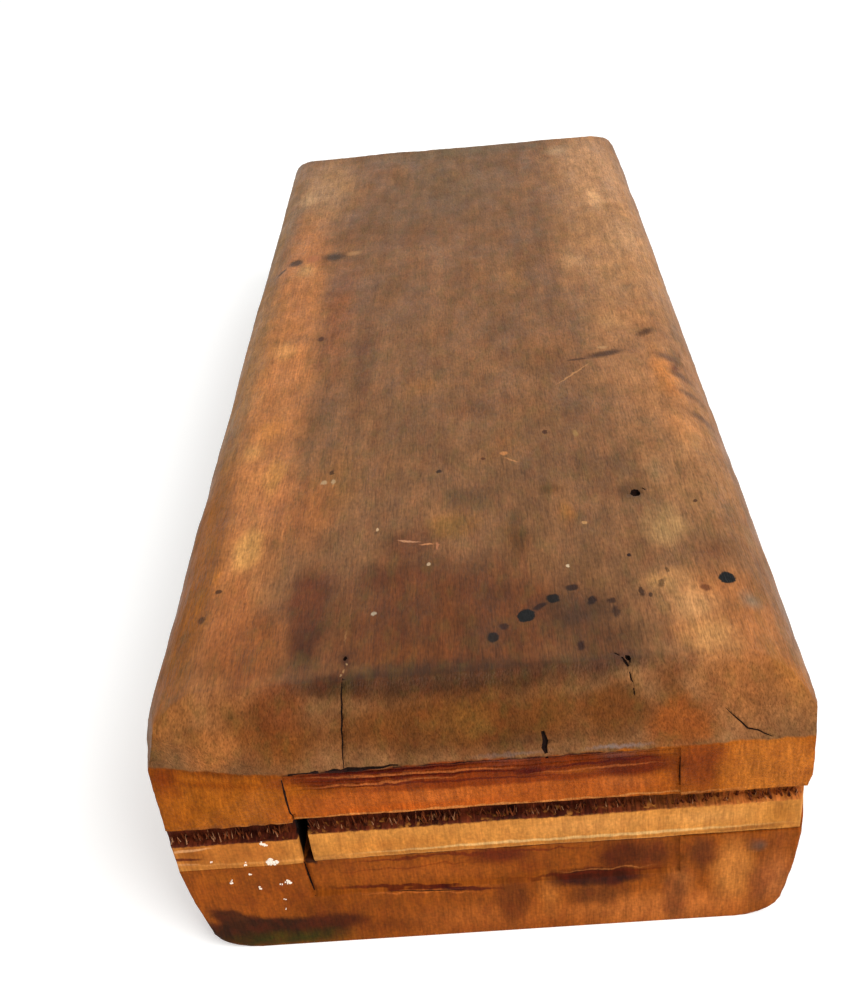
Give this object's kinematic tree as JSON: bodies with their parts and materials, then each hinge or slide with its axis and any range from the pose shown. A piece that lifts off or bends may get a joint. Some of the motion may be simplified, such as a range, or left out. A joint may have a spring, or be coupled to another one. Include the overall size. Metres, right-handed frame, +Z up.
{
  "type": "sleeve ironing board",
  "caption": "Fixed wooden sleeve board: a bevelled pressing board held over a base board by a thin nailed spacer at one end, leaving a gap for the sleeve.",
  "frame": {"origin": "middle of the footprint's bounding box, on the surface that the board stands on", "axes": "+Z up; +Y along the board from the joined end to the free end; +X to the right as seen from the joined end"},
  "size_m": [0.15, 0.3749, 0.0705],
  "materials": {
    "pressing_board_wood": "bare, scorched and darkened by use",
    "base_wood": "bare, darkened by age",
    "spacer_wood": "bare, sawn",
    "nail_iron": "rusted dark"
  },
  "bodies": {
    "root": {"base_board": "base_wood", "spacer_narrow": "spacer_wood", "spacer_wide": "spacer_wood", "top_board": "pressing_board_wood", "top_nails": "nail_iron", "narrow_spacer_nails": "nail_iron", "wide_spacer_nails": "nail_iron"}
  },
  "joints": []
}
